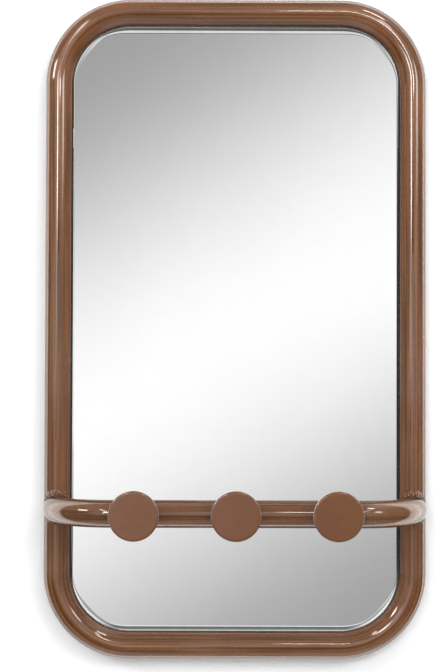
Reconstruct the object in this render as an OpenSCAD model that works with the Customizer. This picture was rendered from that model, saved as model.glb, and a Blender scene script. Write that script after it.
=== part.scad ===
// Wall mirror with hooks: a closed loop of bent steel tube round a mirror glass, a tube rail welded
// across its lower part, and three round hooks screwed to the rail.
// Millimetres. +Z is up, the mirror faces -Y and the wall is the plane y = 0.
// The origin is on the wall, midway between the two keyhole entries of the hanger plates.

/* [Frame] */
// Width over the outside of the frame tube
frame_w = 400; // [396:1:440]
// Height over the outside of the frame tube
frame_h = 692; // [680:1:720]
// Outside diameter of the frame tube and the rail
tube_d = 28; // [27:0.5:30]
// Wall thickness of both tubes
tube_wall = 1.5; // [1.2:0.1:2]
// Bend radius of the frame's corners, to the tube's centre line
corner_bend = 76; // [74:1:80]
// Gap between the frame tube and the wall
wall_gap = 1; // [0.5:0.1:1.4]

/* [Rail] */
// Height of the rail's centre line above the bottom of the frame
rail_h = 157; // [140:1:180]
// Distance from the frame tube's centre line forward to the rail's centre line
rail_out = 65; // [65:1:72]
// Bend radius at the rail's two ends, to the centre line
rail_bend = 60; // [50:1:60]
// Width of the weld beads
weld_w = 3; // [2:0.5:4]

/* [Hooks] */
// Diameter of the hook discs
disc_d = 50; // [44:1:60]
// Thickness of the hook discs
disc_t = 6; // [5:0.5:8]
// Distance between neighbouring hooks
hook_pitch = 101.5; // [90:0.5:105]
// Distance from the rail's centre line forward to the face of the discs
hook_out = 30; // [29:1:38]
// Diameter of the hook stems
stem_d = 16; // [14:0.5:18]

/* [Mirror and board] */
// Thickness of the mirror glass
glass_t = 5; // [4:0.5:6]
// Gap between the glass and the frame tube, all round
glass_gap = 1.5; // [1.5:0.5:4]
// Width of the polished slope round the front of the glass
arris = 1.5; // [0.5:0.1:2]
// Thickness of the backing board
board_t = 9; // [8:0.5:10]
// Height of the backing board
board_h = 528; // [510:1:530]

/* [Hanging] */
// Distance between the two keyhole entries
hanger_pitch = 240; // [180:1:260]
// Height of the keyhole entries above the middle of the frame
hang_up = 220; // [190:1:225]

/* [Hidden] */
$fn = 96;

coat = [0.49, 0.33, 0.25];
steel = [0.75, 0.75, 0.77];
black = [0.08, 0.08, 0.08];
eps = 1;                                  // how far a cutter runs past what it cuts

// All pieces are drawn facing up: x across the mirror, y up it, z out from the wall.
tube_r = tube_d / 2;
bore_r = tube_r - tube_wall;
tube_z = wall_gap + tube_r;               // centre line of the frame tube, out from the wall
side_x = frame_w / 2 - tube_r;            // centre line of the side tubes
end_y = frame_h / 2 - tube_r;             // centre line of the top and bottom tubes
bend_x = side_x - corner_bend;            // centres of the corner bends
bend_y = end_y - corner_bend;

rail_y = rail_h - frame_h / 2;
rail_z = tube_z + rail_out;
rail_bend_x = side_x - rail_bend;         // centres of the rail's two bends
rail_bend_z = rail_z - rail_bend;
feather = 3;                              // the fish mouth's thin points are trimmed this far up
vent_r = 4;                               // lets gas and coating powder pass between the two tubes
drain_r = 2.5;                            // drain at the bottom of the frame, on the wall side
weld_half = 9;                            // half the length of each weld bead across the tube

hooks_x = [-hook_pitch, 0, hook_pitch];
rim_r = 1.5;                              // rounding of the discs' rims
stem_fillet = 3;                          // where a stem meets the back of its disc
knob_thread_r = 3;
knob_thread_end = hook_out - 5;           // depth of the blind hole, from the rail's centre line
knob_clear_r = 3.2;
washer_r = 7;
washer_back = tube_r + 1.5;               // flat seat of the saddle washers, behind the rail's centre

plate_t = 1.5;                            // hanger plates, lugs and bumpers share one gauge
board_back = plate_t;
board_front = board_back + board_t;
tape_t = 2;
glass_back = board_front + tape_t;
glass_front = glass_back + glass_t;
glass_x = side_x - tube_r - glass_gap;    // half sizes of the glass
glass_y = end_y - tube_r - glass_gap;
glass_corner = corner_bend - tube_r - glass_gap;

board_x = side_x - tube_r - 0.5;          // half width of the board, which fills the loop side to side
board_corner = 4;
tape_x = [-125, -42, 42, 125];
tape_size = [25, 480];

lug_y = 200;                              // height of the lugs above and below the middle
lug_hole_x = side_x - tube_r - 12;
lug_r = 10;
board_screw_r = 2;
board_screw_head_r = 4;
counterbore_r = 4.5;
counterbore_h = 3;

keyhole_r = 4.5;                          // keyhole entry, for a wall screw's head
keyslot_r = 2.3;                          // keyhole slot, for its shank
keyslot_up = 9;
hanger_end = 20;                          // half length of a hanger plate
hanger_r = 10;
hanger_screw_y = 20;
hanger_screw_r = 1.75;
hanger_head_r = 3.4;
pocket_h = 5;                             // depth of the pocket in the board behind each keyhole
pocket_r = 7;

bumper_x = 150;
bumper_y = 22 - board_h / 2;
bumper_r = 6;

// Stands a piece that is drawn facing up on the wall, and puts the origin at the keyholes.
module on_wall() {
    translate([0, 0, -hang_up]) rotate([90, 0, 0]) children();
}

// Cross-section of the tube
module tube_ring() {
    difference() {
        circle(r = tube_r);
        circle(r = bore_r);
    }
}

// The frame tube's four straights and four bends, with the given cross-section
module frame_loop() {
    for (side = [-1, 1]) {
        translate([side * side_x, bend_y, tube_z]) rotate([90, 0, 0])
            linear_extrude(2 * bend_y) children();
        translate([-bend_x, side * end_y, tube_z]) rotate([90, 0, 90])
            linear_extrude(2 * bend_x) children();
    }
    for (quarter = [0:3]) {
        sx = (quarter == 0 || quarter == 3) ? 1 : -1;
        sy = quarter < 2 ? 1 : -1;
        translate([sx * bend_x, sy * bend_y, tube_z]) rotate([0, 0, 90 * quarter])
            rotate_extrude(angle = 90) translate([corner_bend, 0]) children();
    }
}

// A solid bar in the place of one side tube, near the rail, with radius r
module side_bar(side, r) {
    reach = 60;
    translate([side * side_x, rail_y - reach, tube_z]) rotate([-90, 0, 0])
        cylinder(r = r, h = 2 * reach);
}

// One end of the rail: its bend and the short leg that runs back to the side tube
module rail_end(side, foot) {
    mirror([side < 0 ? 1 : 0, 0, 0]) {
        translate([rail_bend_x, rail_y, rail_bend_z]) rotate([90, 0, 0])
            rotate_extrude(angle = 90) translate([rail_bend, 0]) children();
        translate([side_x, rail_y, foot]) linear_extrude(rail_bend_z - foot) children();
    }
}

module frame_tube() {
    color(coat) on_wall() difference() {
        frame_loop() tube_ring();
        for (side = [-1, 1])
            translate([side * side_x, rail_y, tube_z]) cylinder(r = vent_r, h = tube_r + eps);
        translate([0, -end_y, -eps]) cylinder(r = drain_r, h = tube_z + eps);
    }
}

module hook_rail() {
    color(coat) on_wall() difference() {
        union() {
            translate([-rail_bend_x, rail_y, rail_z]) rotate([90, 0, 90])
                linear_extrude(2 * rail_bend_x) tube_ring();
            for (side = [-1, 1]) rail_end(side, tube_z + feather) tube_ring();
        }
        for (side = [-1, 1]) side_bar(side, tube_r);
        for (x = hooks_x) translate([x, rail_y, rail_z - tube_r - eps])
            cylinder(r = knob_clear_r, h = 2 * (tube_r + eps));
    }
}

// The weld beads above and below one leg: what lies close to both tubes, without the tubes
module weld(side) {
    color(coat) on_wall() difference() {
        intersection() {
            translate([side * side_x - weld_half, rail_y - tube_d, tube_z])
                cube([2 * weld_half, 2 * tube_d, 2 * tube_d]);
            rail_end(side, tube_z) circle(r = tube_r + weld_w);
            side_bar(side, tube_r + weld_w);
        }
        rail_end(side, tube_z - eps) circle(r = tube_r);
        side_bar(side, tube_r);
    }
}
module weld_left() { weld(-1); }
module weld_right() { weld(1); }

// Half section of a turned knob, from its foot inside the rail's outline to the disc's face
module knob_section() {
    foot = tube_r - 4;
    disc_back = hook_out - disc_t;
    stem_r = stem_d / 2;
    difference() {
        union() {
            translate([0, foot]) square([stem_r, disc_back - foot + eps]);
            translate([stem_r, disc_back - stem_fillet]) square([stem_fillet, stem_fillet + eps]);
            translate([0, disc_back]) square([disc_d / 2 - rim_r, disc_t]);
            translate([0, disc_back + rim_r]) square([disc_d / 2, disc_t - 2 * rim_r]);
            for (h = [disc_back + rim_r, hook_out - rim_r])
                translate([disc_d / 2 - rim_r, h]) circle(r = rim_r);
        }
        translate([stem_r + stem_fillet, disc_back - stem_fillet]) circle(r = stem_fillet);
        square([knob_thread_r, knob_thread_end]);
    }
}

module knob(i) {
    color(coat) on_wall() translate([hooks_x[i], rail_y, rail_z]) difference() {
        rotate_extrude() knob_section();
        translate([-disc_d, 0, 0]) rotate([0, 90, 0]) cylinder(r = tube_r, h = 2 * disc_d);
    }
}
module knob_left() { knob(0); }
module knob_middle() { knob(1); }
module knob_right() { knob(2); }

// Half section of a pan head screw that points up: the seat under its head is at height 0
module pan_screw_section(head_r, head_h, shank_r, length) {
    crown_r = head_h / 2;
    translate([0, -head_h]) square([head_r - crown_r, head_h]);
    translate([0, crown_r - head_h]) square([head_r, head_h - crown_r]);
    translate([head_r - crown_r, crown_r - head_h]) circle(r = crown_r);
    point = shank_r / 3;
    polygon([[0, -eps], [shank_r, -eps], [shank_r, length - point], [shank_r - point, length],
             [0, length]]);
}

module knob_screws() {
    color(steel) on_wall() for (x = hooks_x)
        translate([x, rail_y, rail_z - washer_back]) rotate_extrude()
            pan_screw_section(5.5, 3.6, knob_thread_r - 0.05, washer_back + knob_thread_end - 2);
}

// Washers with one flat side and one side hollowed to the rail's radius
module saddle_washers() {
    color(steel) on_wall() for (x = hooks_x) translate([x, rail_y, rail_z]) difference() {
        translate([0, 0, -washer_back]) cylinder(r = washer_r, h = washer_back - tube_r + 3);
        translate([0, 0, -washer_back - eps]) cylinder(r = knob_clear_r, h = washer_back);
        translate([-washer_r - eps, 0, 0]) rotate([0, 90, 0])
            cylinder(r = tube_r, h = 2 * (washer_r + eps));
    }
}

// Half section of the glass's edge, measured in from a corner's centre, with its polished slope
module glass_edge() {
    polygon([[0, 0], [glass_corner, 0], [glass_corner, glass_t - arris],
             [glass_corner - arris, glass_t], [0, glass_t]]);
}

module mirror_glass() {
    inner_x = glass_x - glass_corner;
    inner_y = glass_y - glass_corner;
    color([0.8, 0.84, 0.86]) on_wall() translate([0, 0, glass_back]) {
        translate([-inner_x, -inner_y, 0]) cube([2 * inner_x, 2 * inner_y, glass_t]);
        for (quarter = [0:3]) {
            sx = (quarter == 0 || quarter == 3) ? 1 : -1;
            sy = quarter < 2 ? 1 : -1;
            translate([sx * inner_x, sy * inner_y, 0]) rotate([0, 0, 90 * quarter])
                rotate_extrude(angle = 90) glass_edge();
        }
        for (turn = [0, 180]) rotate([0, 0, turn]) {
            translate([inner_x, inner_y, 0]) rotate([90, 0, 0])
                linear_extrude(2 * inner_y) glass_edge();
            translate([-inner_x, inner_y, 0]) rotate([90, 0, 90])
                linear_extrude(2 * inner_x) glass_edge();
        }
    }
}

module mounting_tape() {
    color(black) on_wall() for (x = tape_x)
        translate([x - tape_size[0] / 2, -tape_size[1] / 2, board_front])
            cube([tape_size[0], tape_size[1], tape_t]);
}

// Outline of a plate with half sizes x and y and rounded corners
module rounded_plate(x, y, corner) {
    square([2 * (x - corner), 2 * y], center = true);
    square([2 * x, 2 * (y - corner)], center = true);
    for (sx = [-1, 1], sy = [-1, 1]) translate([sx * (x - corner), sy * (y - corner)])
        circle(r = corner);
}

module backing_board() {
    color(black) on_wall() difference() {
        translate([0, 0, board_back]) linear_extrude(board_t)
            rounded_plate(board_x, board_h / 2, board_corner);
        for (sx = [-1, 1], sy = [-1, 1]) translate([sx * lug_hole_x, sy * lug_y, 0]) {
            cylinder(r = board_screw_r + 0.25, h = board_front + eps);
            cylinder(r = counterbore_r, h = board_back + counterbore_h);
        }
        for (sx = [-1, 1]) translate([sx * hanger_pitch / 2, hang_up, 0]) {
            linear_extrude(board_back + pocket_h) {
                circle(r = pocket_r);
                translate([0, keyslot_up]) circle(r = pocket_r);
                translate([-pocket_r, 0]) square([2 * pocket_r, keyslot_up]);
            }
            for (sy = [-1, 1]) translate([0, sy * hanger_screw_y, 0])
                cylinder(r = hanger_screw_r, h = board_front - 1);
        }
    }
}

// A lug: a flat steel ear, coped to the side tube, between the board and the glass
module lug(side, up) {
    color(coat) on_wall() translate([0, up * lug_y, 0]) difference() {
        translate([0, 0, board_front]) linear_extrude(plate_t) {
            translate([side * lug_hole_x, 0]) circle(r = lug_r);
            translate([side > 0 ? lug_hole_x : -side_x, -lug_r])
                square([side_x - lug_hole_x, 2 * lug_r]);
        }
        translate([side * side_x, -lug_r - eps, tube_z]) rotate([-90, 0, 0])
            cylinder(r = tube_r, h = 2 * (lug_r + eps));
        translate([side * lug_hole_x, 0, board_front - eps])
            cylinder(r = board_screw_r, h = plate_t + 2 * eps);
    }
}
module lug_upper_left() { lug(-1, 1); }
module lug_upper_right() { lug(1, 1); }
module lug_lower_left() { lug(-1, -1); }
module lug_lower_right() { lug(1, -1); }

module board_screws() {
    seat = board_back + counterbore_h;
    color(steel) on_wall() for (sx = [-1, 1], sy = [-1, 1])
        translate([sx * lug_hole_x, sy * lug_y, seat]) rotate_extrude()
            pan_screw_section(board_screw_head_r, 2.4, board_screw_r - 0.05,
                              board_front + plate_t - seat);
}

// A hanger plate: rounded ends, two countersunk holes and a keyhole with its slot upwards
module hanger(side) {
    color(steel) on_wall() translate([side * hanger_pitch / 2, hang_up, 0]) difference() {
        linear_extrude(plate_t) difference() {
            union() {
                for (sy = [-1, 1]) translate([0, sy * hanger_end]) circle(r = hanger_r);
                square([2 * hanger_r, 2 * hanger_end], center = true);
            }
            circle(r = keyhole_r);
            translate([-keyslot_r, 0]) square([2 * keyslot_r, keyslot_up]);
            translate([0, keyslot_up]) circle(r = keyslot_r);
            for (sy = [-1, 1]) translate([0, sy * hanger_screw_y]) circle(r = hanger_screw_r);
        }
        for (sy = [-1, 1]) translate([0, sy * hanger_screw_y, 0])
            cylinder(r1 = hanger_head_r, r2 = hanger_screw_r, h = plate_t - 0.3);
    }
}
module hanger_left() { hanger(-1); }
module hanger_right() { hanger(1); }

module hanger_screws() {
    shank_r = hanger_screw_r - 0.05;
    cone_h = plate_t - 0.3;
    tip = board_front - 2;
    color(steel) on_wall() for (sx = [-1, 1], sy = [-1, 1])
        translate([sx * hanger_pitch / 2, hang_up + sy * hanger_screw_y, 0]) rotate_extrude()
            polygon([[0, 0], [hanger_head_r - 0.05, 0], [shank_r, cone_h], [shank_r, tip - 2],
                     [0, tip]]);
}

module bumper(side) {
    color([0.2, 0.2, 0.2]) on_wall() translate([side * bumper_x, bumper_y, 0]) rotate_extrude()
        polygon([[0, 0], [bumper_r - 0.8, 0], [bumper_r, 0.8], [bumper_r, plate_t], [0, plate_t]]);
}
module bumper_left() { bumper(-1); }
module bumper_right() { bumper(1); }

frame_tube();
hook_rail();
weld_left();
weld_right();
knob_left();
knob_middle();
knob_right();
knob_screws();
saddle_washers();
mirror_glass();
mounting_tape();
backing_board();
lug_upper_left();
lug_upper_right();
lug_lower_left();
lug_lower_right();
board_screws();
hanger_left();
hanger_right();
hanger_screws();
bumper_left();
bumper_right();
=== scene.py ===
# %% [markdown]
# # A wall mirror with hooks
# The real object is a loop of bent steel tube round a mirror glass. A second tube, the rail, is
# welded across the lower part and carries three round hooks. Everything steel in front is coated
# in one glossy brown enamel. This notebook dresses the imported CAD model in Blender.
#
# Lengths are metres, +Z is up, the mirror faces -Y and the wall is the plane y = 0, so a piece
# goes exactly where the CAD says.

# %% Load the frame
import math

import bmesh
import bpy
import numpy as np
from mathutils import Matrix, Vector


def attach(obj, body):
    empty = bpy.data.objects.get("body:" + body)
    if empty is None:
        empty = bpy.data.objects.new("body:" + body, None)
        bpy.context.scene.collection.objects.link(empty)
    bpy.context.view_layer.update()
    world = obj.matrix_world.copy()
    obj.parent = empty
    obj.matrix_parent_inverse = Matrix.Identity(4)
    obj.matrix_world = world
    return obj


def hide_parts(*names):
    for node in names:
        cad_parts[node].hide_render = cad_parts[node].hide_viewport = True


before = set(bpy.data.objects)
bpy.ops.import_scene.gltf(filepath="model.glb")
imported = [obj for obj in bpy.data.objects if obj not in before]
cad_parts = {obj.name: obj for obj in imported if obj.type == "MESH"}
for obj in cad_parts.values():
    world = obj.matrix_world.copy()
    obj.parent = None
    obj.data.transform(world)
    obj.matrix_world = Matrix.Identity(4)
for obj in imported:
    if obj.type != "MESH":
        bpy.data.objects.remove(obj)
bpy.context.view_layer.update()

# %% [markdown]
# ## The camera
# A photograph fixes its camera: where straight tubes converge and how large near things look
# gives the place, the turn and the lens. It was solved from the outlines of the frame, the rail
# and the discs, not set by eye, so that photo and render compare pixel for pixel. The lens is for
# a 36 mm sensor along the long side of the 440 by 672 picture.

# %% Camera
EYE = Vector((-0.02182, -1.6100, -0.26500))
YAW, PITCH, ROLL = -0.00355, 0.02280, -0.00319
FOCAL_PX, LONG_PX, SENSOR = 1518.84, 672, 36.0

turn = Matrix.Rotation(YAW, 3, "Z") @ Matrix.Rotation(PITCH, 3, "X") @ Matrix.Rotation(ROLL, 3, "Y")
right, ahead, up = turn.col[0], turn.col[1], turn.col[2]
camera_data = bpy.data.cameras.new("camera")
camera_data.sensor_fit = "VERTICAL"
camera_data.sensor_height = SENSOR
camera_data.lens = FOCAL_PX * SENSOR / LONG_PX
camera = bpy.data.objects.new("camera", camera_data)
camera.matrix_world = Matrix((right, up, -ahead)).transposed().to_4x4()
camera.matrix_world.translation = EYE
bpy.context.scene.collection.objects.link(camera)
bpy.context.scene.camera = camera
bpy.context.scene.view_settings.view_transform = "Standard"
print("lens mm:", round(camera_data.lens, 2))

# %% [markdown]
# ## Sizes
# These repeat the named values of the part's source, in metres. The loop's centre line is a
# rounded rectangle. The rail's centre line runs in the level plane z = RAIL_Z: two short legs
# leave the side tubes, bend through 90 degrees and join in one straight.

# %% Sizes
MM = 0.001
TUBE_R = 14 * MM
TUBE_Y = -15 * MM  # centre line of the loop, out from the wall
SIDE_X = 186 * MM  # centre line of the side tubes
LOOP_TOP, LOOP_FOOT = 112 * MM, -552 * MM
LOOP_BEND = 76 * MM
RAIL_Y, RAIL_Z = -80 * MM, -409 * MM
RAIL_BEND = 60 * MM
HOOKS_X = (-101.5 * MM, 0.0, 101.5 * MM)
MIDDLE_Z = (LOOP_TOP + LOOP_FOOT) / 2
HALF_X, HALF_Z = SIDE_X + TUBE_R, (LOOP_TOP - LOOP_FOOT) / 2 + TUBE_R  # to the frame's outside
print("loop middle z:", MIDDLE_Z, "outside:", 2 * HALF_X, "by", 2 * HALF_Z)

# %% [markdown]
# ## Helpers for surfaces
# Every new piece is a grid of points, worked out with numpy as whole arrays: rows run along the
# piece, columns run round it. `grid_faces` joins neighbours, and `build` puts the arrays into a
# mesh.

# %% Grid helpers
def grid_faces(rows, columns, close_rows=False):
    """Quads that join each point (i, j) of a grid with (i+1, j), (i+1, j+1) and (i, j+1). Each row
    closes into a ring."""
    i = np.arange(rows if close_rows else rows - 1)
    i, j = np.meshgrid(i, np.arange(columns), indexing="ij")
    i_next, j_next = (i + 1) % rows, (j + 1) % columns
    corners = [i * columns + j, i_next * columns + j, i_next * columns + j_next, i * columns + j_next]
    return np.stack([c.ravel() for c in corners], 1)


def corner_uv(u, v):
    """For each quad of a grid, the lengthwise and crosswise distance at its four corners."""
    i, j = np.meshgrid(np.arange(len(u) - 1), np.arange(len(v) - 1), indexing="ij")
    pairs = [(u[i], v[j]), (u[i + 1], v[j]), (u[i + 1], v[j + 1]), (u[i], v[j + 1])]
    return np.stack([np.stack(pair, -1) for pair in pairs], 2).reshape(-1, 2)


def fan_faces(ring, pole, flip=False):
    """Triangles from each edge of a closed ring of point numbers to one pole point."""
    ring = np.asarray(ring)
    after = np.roll(ring, -1)
    pair = (after, ring) if flip else (ring, after)
    return np.stack([pair[0], pair[1], np.full(len(ring), pole)], 1)


def capped_grid(rows, columns):
    """Faces of a closed skin: a grid, and fans that close its first and last rows on the two pole
    points that follow it."""
    last_row, pole = (rows - 1) * columns, rows * columns
    return [grid_faces(rows, columns), fan_faces(np.arange(columns), pole),
            fan_faces(last_row + np.arange(columns), pole + 1, flip=True)]


def full_turn(count, start=0.0):
    """Angles in even steps round a full turn, in radians."""
    return start + np.linspace(0, 2 * np.pi, count + 1)[:-1]


def build(name, points, face_groups, uv=None, smooth=True):
    """A mesh object at the origin from points (n, 3) and arrays of quads and triangles. uv holds
    one pair for each corner of the first faces; the corners after them get zero."""
    points = np.asarray(points, float).reshape(-1, 3)
    used, renumbered = np.unique(np.concatenate([np.ravel(group) for group in face_groups]),
                                 return_inverse=True)
    cuts = np.cumsum([np.size(group) for group in face_groups])[:-1]
    faces = [face for group, numbers in zip(face_groups, np.split(renumbered.ravel(), cuts))
             for face in numbers.reshape(np.shape(group)).tolist()]
    points = points[used]
    mesh = bpy.data.meshes.new(name)
    mesh.from_pydata(points.tolist(), [], faces)
    if uv is not None:
        spread = np.zeros((len(mesh.loops), 2))
        spread[:len(uv)] = uv
        mesh.uv_layers.new(name="lengthwise").data.foreach_set("uv", spread.ravel())
    mesh.polygons.foreach_set("use_smooth", np.full(len(mesh.polygons), smooth))
    mesh.update()
    thing = bpy.data.objects.new(name, mesh)
    bpy.context.scene.collection.objects.link(thing)
    print(name, "points", len(points), "faces", len(faces), "volume sign", volume_sign(mesh))
    return thing


def volume_sign(mesh):
    """+1 when the faces of a closed mesh point outwards."""
    solid = bmesh.new()
    solid.from_mesh(mesh)
    sign = int(np.sign(solid.calc_volume(signed=True)))
    solid.free()
    return sign


def wear(thing, *materials):
    """Puts materials into the slots of a piece, the first one into slot 0."""
    thing.data.materials.clear()
    for material in materials:
        thing.data.materials.append(material)
    return thing

# %% [markdown]
# ## Helpers for node trees
# A material is a small graph. `put` adds one node with its values, and `calc` adds one Math node,
# so that a formula in code reads like the formula on paper.

# %% Node helpers
def put(tree, kind, inputs=None, **settings):
    """Adds a shader node, sets its properties, and fills inputs with values or links."""
    node = tree.nodes.new("ShaderNode" + kind)
    for key, value in settings.items():
        setattr(node, key, value)
    for key, value in (inputs or {}).items():
        if isinstance(value, bpy.types.NodeSocket):
            tree.links.new(value, node.inputs[key])
        else:
            node.inputs[key].default_value = value
    return node


def calc(tree, operation, *values):
    """One Math node; returns its output socket."""
    return put(tree, "Math", dict(enumerate(values)), operation=operation).outputs[0]


def bare_material(name):
    """A new material and its empty node tree."""
    material = bpy.data.materials.new(name)
    material.use_nodes = True
    material.node_tree.nodes.clear()
    return material, material.node_tree


def see_through(tree, where, shown):
    """Ends a material: it shows a shader, and is see-through where `where` is 1."""
    clear = put(tree, "BsdfTransparent")
    mixed = put(tree, "MixShader", {0: where, 1: shown.outputs[0], 2: clear.outputs[0]})
    put(tree, "OutputMaterial", {"Surface": mixed.outputs[0]})


def ramp(tree, value, low, high, at_low=0.0, at_high=1.0):
    """Smooth step of value from at_low (below low) to at_high (above high)."""
    node = put(tree, "MapRange", {"Value": value, "From Min": low, "From Max": high,
                                  "To Min": at_low, "To Max": at_high},
               interpolation_type="SMOOTHSTEP")
    return node.outputs["Result"]


def between(tree, factor, first, second):
    """first + (second - first) * factor."""
    return calc(tree, "MULTIPLY_ADD", calc(tree, "SUBTRACT", second, first), factor, first)

# %% [markdown]
# ## The studio: wall and floor
# The mirror hangs on a white studio wall, and the photograph shows soft shadows on it. A plane just
# behind the object catches them for the camera, and a smaller one in the same place is what the
# enamel mirrors. Bounced light takes the wall's white from the world instead. Both planes are
# see-through from their back, so the object can also be looked at from behind.

# %% Wall and floor
GLARE_TINT = (1.03, 0.96, 0.88)  # the wall's slight warmth in the enamel
# painted shade: close to the frame the enamel sees the wall dimmer, as if in the frame's shadow
RIM_SHADE_GLARE = 1.2  # its gain close to the frame, which keeps the rims grey
# painted shade: the camera sees the wall a little darker above and below the frame than beside it
SHADE_ABOVE_BELOW_SHARE = 0.98  # of the camera's gain is left above and below the frame


def stage_material(name, colour, seen, glare):
    """A pale matt finish, see-through from its back. The camera sees it `seen` times brighter than
    it is lit, and the enamel up to `glare` times, as an overexposed studio wall is. Both gains hold
    painted shade round the frame: the enamel's drops close to the frame, and the camera's is a
    little lower above and below the frame than beside it."""
    material, tree = bare_material(name)
    place = put(tree, "TexCoord").outputs["Object"]
    plaster = put(tree, "TexNoise", {"Vector": place, "Scale": 60.0, "Detail": 4.0})
    bump = put(tree, "Bump", {"Height": plaster.outputs["Fac"], "Strength": 0.04, "Distance": 0.001})
    rays = put(tree, "LightPath").outputs
    matt = put(tree, "BsdfDiffuse", {"Color": colour, "Normal": bump.outputs[0]})
    spot = put(tree, "SeparateXYZ", {0: place}).outputs
    height = calc(tree, "SUBTRACT", spot[2], MIDDLE_Z)
    beside = calc(tree, "SUBTRACT", calc(tree, "ABSOLUTE", spot[0]), HALF_X)
    beyond = calc(tree, "SUBTRACT", calc(tree, "ABSOLUTE", height), HALF_Z)
    away = calc(tree, "MAXIMUM", beside, beyond)
    # painted shade near the frame: the enamel's gain falls close to it, the camera's above and below it
    gain = ramp(tree, away, 0.02, 0.09, min(glare, RIM_SHADE_GLARE) - 1, glare - 1)
    for_enamel = calc(tree, "MULTIPLY", rays["Is Glossy Ray"], gain)
    sideways = calc(tree, "SUBTRACT", beside, beyond)
    for_camera = calc(tree, "MULTIPLY", rays["Is Camera Ray"],
                      ramp(tree, sideways, -0.03, 0.03, seen * SHADE_ABOVE_BELOW_SHARE - 1, seen - 1))
    extra = [calc(tree, "MULTIPLY_ADD", for_enamel, part, for_camera) for part in GLARE_TINT]
    extra_colour = put(tree, "CombineXYZ", dict(enumerate(extra))).outputs[0]
    shine = put(tree, "BsdfDiffuse", {"Color": extra_colour})
    front = put(tree, "AddShader", {0: matt.outputs[0], 1: shine.outputs[0]})
    see_through(tree, put(tree, "NewGeometry").outputs["Backfacing"], front)
    return material


def stage_plane(name, corners, material, hidden):
    """One flat rectangle of the studio, left out of the kinds of ray that `hidden` names."""
    mesh = bpy.data.meshes.new(name)
    mesh.from_pydata([tuple(c) for c in corners], [], [(0, 1, 2, 3)])
    plane = bpy.data.objects.new(name, mesh)
    bpy.context.scene.collection.objects.link(plane)
    wear(plane, material)
    for kind in hidden:
        setattr(plane, "visible_" + kind, False)
    return plane


WALL_Y, FLOOR_Z = 0.6 * MM, -0.95
WALL_X, WALL_TOP, FLOOR_FRONT = 3.0, 2.6, -4.0
NEAR_X, NEAR_TOP = 0.9, 0.9  # as much of the wall as the enamel mirrors


def wall_corners(half_x, top):
    """A rectangle in the wall's plane that faces the room."""
    return [(-half_x, WALL_Y, FLOOR_Z), (half_x, WALL_Y, FLOOR_Z), (half_x, WALL_Y, top),
            (-half_x, WALL_Y, top)]


wall_white = stage_material("studio_wall_white", (0.874, 0.9, 0.924, 1.0), seen=1.42, glare=2.7)
wall = stage_plane("studio_wall", wall_corners(WALL_X, WALL_TOP), wall_white,
                   hidden=("diffuse", "glossy", "shadow"))
stage_plane("studio_wall_near", wall_corners(NEAR_X, NEAR_TOP), wall_white,
            hidden=("camera", "diffuse", "transmission", "shadow"))
floor_pale = stage_material("studio_floor_pale", (0.86, 0.86, 0.86, 1.0), seen=1.2, glare=1.0)
floor = stage_plane("studio_floor", [(-WALL_X, FLOOR_FRONT, FLOOR_Z), (WALL_X, FLOOR_FRONT, FLOOR_Z),
                                     (WALL_X, WALL_Y, FLOOR_Z), (-WALL_X, WALL_Y, FLOOR_Z)],
                    floor_pale, hidden=("diffuse", "glossy", "shadow"))
print("wall normal", wall.data.polygons[0].normal[:], "floor normal", floor.data.polygons[0].normal[:])

# %% [markdown]
# ## The studio: what glossy things see
# Gloss shows its surroundings, so the world is the studio round the object. The camera sees white.
# The mirror, which is perfectly sharp, sees one broad sheet of light that fades to grey on both
# sides, as a lit white sail does. The enamel, which is a little less sharp, sees the wall behind,
# the dark room in front and the pale floor and ceiling. Matt surfaces get one even level, so that
# a colour renders about as it is written.

# %% World
EVEN_LIGHT = 0.46  # what matt surfaces get
DARK_FRONT, WALL_SIDE = 0.20, 1.9  # the room's level in front, and the wall's behind
STRIPE_PACE, STRIPE_SHIFT = 9.0, 7.3  # of the thin stripes in the room
# parts of a direction of length 1: the window that the flat glass sees, and the slope's middle
WINDOW_HALF_X, WINDOW_HALF_Z, WINDOW_UP, SLOPE_UP = 0.115, 0.205, 0.028, 0.02
BAND_BLUR = 0.01  # half width of the step from one band to the next
world = bpy.data.worlds.new("studio")
bpy.context.scene.world = world
world.use_nodes = True
sky = world.node_tree
sky.nodes.clear()
ray = put(sky, "SeparateXYZ", {0: put(sky, "TexCoord").outputs["Generated"]})
ray_x, ray_y, ray_z = ray.outputs
path = put(sky, "LightPath").outputs


def sail():
    """Brightness of the broad sheet in the direction (x, y, z): 0.712 + 0.338 cos(pi t), where t is
    the size of 2.236 x - 4.05 z + 0.066. Past t = 1 it stays grey, then slowly rises again."""
    across = calc(sky, "MULTIPLY_ADD", ray_x, 2.236, 0.066)
    t = calc(sky, "ABSOLUTE", calc(sky, "MULTIPLY_ADD", ray_z, -4.05, across))
    wave = calc(sky, "COSINE", calc(sky, "MULTIPLY", calc(sky, "MINIMUM", t, 1.0), math.pi))
    rise = ramp(sky, t, 1.1, 3.5, 0.0, 0.34)
    return calc(sky, "ADD", calc(sky, "MULTIPLY_ADD", wave, 0.338, 0.712), rise)


def past_window():
    """How far a direction lies outside the window that the flat glass sees: the distance to a
    rectangle in the two sideways components of the direction."""
    up = calc(sky, "SUBTRACT", ray_z, WINDOW_UP)
    outside = [calc(sky, "MAXIMUM", calc(sky, "SUBTRACT", calc(sky, "ABSOLUTE", part), half), 0.0)
               for part, half in ((ray_x, WINDOW_HALF_X), (up, WINDOW_HALF_Z))]
    squares = [calc(sky, "MULTIPLY", part, part) for part in outside]
    return calc(sky, "SQRT", calc(sky, "ADD", *squares))


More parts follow.
